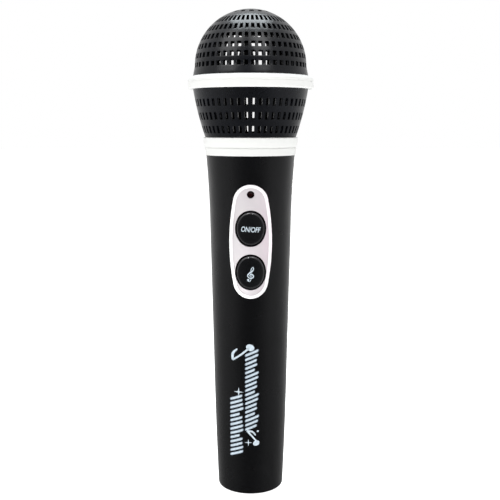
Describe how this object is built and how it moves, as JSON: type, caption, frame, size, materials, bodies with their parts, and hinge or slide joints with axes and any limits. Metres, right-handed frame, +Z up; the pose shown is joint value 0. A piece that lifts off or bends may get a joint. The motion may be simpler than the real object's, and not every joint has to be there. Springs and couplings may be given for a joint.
{
  "type": "toy microphone",
  "caption": "Battery toy karaoke microphone with slotted ball grille, silver ring and collar, tapered handle, oval plate with push buttons, and a hinged battery door.",
  "frame": {"origin": "middle of the flat base of the handle", "axes": "+Z up the handle towards the ball grille, -Y towards the buttons, +X to the right seen from the buttons' side"},
  "size_m": [0.0612, 0.0612, 0.24],
  "materials": {
    "handle_black": "glossy black ABS",
    "silver_trim": "pale silver lacquer on plastic",
    "plate_silver": "satin silver lacquer on plastic",
    "grille_black": "satin black ABS",
    "liner_smoke": "high-gloss dark smoke polystyrene",
    "inner_plastic": "moulded black",
    "circuit_board": "green solder mask",
    "lamp_lens": "clear epoxy",
    "indicator_red": "dark red epoxy",
    "soft_rubber": "matt",
    "steel": "zinc plated",
    "ferrite": "ground ferrite",
    "cone_paper": "pressed black paper",
    "button_black": "glossy black",
    "plunger_plastic": "moulded",
    "switch_plastic": "moulded",
    "epoxy_black": "cured drop",
    "capacitor_sleeve": "sleeved can",
    "cell_wrap": "printed film on a metal can",
    "nickel": "nickel plated",
    "lead_red": "insulation",
    "lead_black": "insulation",
    "lead_blue": "insulation",
    "lead_white": "insulation",
    "lead_grey": "insulation"
  },
  "bodies": {
    "microphone": {"battery_lead_black": "lead_black", "battery_lead_red": "lead_red", "battery_left": "cell_wrap", "battery_right": "cell_wrap", "battery_tray": "inner_plastic", "board_screws": "steel", "body_front": "handle_black", "body_rear": "handle_black", "body_screws": "steel", "button_plate": "plate_silver", "capacitors": "capacitor_sleeve", "chip_blob": "epoxy_black", "contact_bridge": "nickel", "contact_plates": "nickel", "contact_springs": "nickel", "equator_ring": "silver_trim", "grille_bowl": "grille_black", "grille_dome": "grille_black", "head_chassis": "inner_plastic", "head_lamp_board": "circuit_board", "head_lamps": "lamp_lens", "head_liner_lower": "liner_smoke", "head_liner_upper": "liner_smoke", "indicator_led": "indicator_red", "indicator_legs": "steel", "lamp_leads": "lead_white", "main_board": "circuit_board", "mic_boot": "soft_rubber", "mic_capsule": "steel", "mic_lead": "lead_grey", "music_switch": "switch_plastic", "neck_collar": "silver_trim", "power_switch": "switch_plastic", "speaker_cone": "cone_paper", "speaker_frame": "steel", "speaker_leads": "lead_blue", "speaker_magnet": "ferrite", "speaker_screws": "steel"},
    "power_button": {"power_button": "button_black", "power_plunger": "plunger_plastic"},
    "music_button": {"music_button": "button_black", "music_plunger": "plunger_plastic"},
    "battery_door": {"battery_door": "handle_black", "door_screw": "steel"}
  },
  "joints": [
    {"name": "power_press", "type": "slide", "parent": "microphone", "child": "power_button", "axis": [0, 1, 0], "range_m": [0, 0.0005], "stiffness_N_per_m": 2500, "springref_m": -0.0001},
    {"name": "music_press", "type": "slide", "parent": "microphone", "child": "music_button", "axis": [0, 1, 0], "range_m": [0, 0.0005], "stiffness_N_per_m": 2500, "springref_m": -0.0001},
    {"name": "door_hinge", "type": "hinge", "parent": "microphone", "child": "battery_door", "pos_m": [0, 0.01575, 0.006], "axis": [-1, 0, 0], "range_deg": [0, 25]}
  ]
}
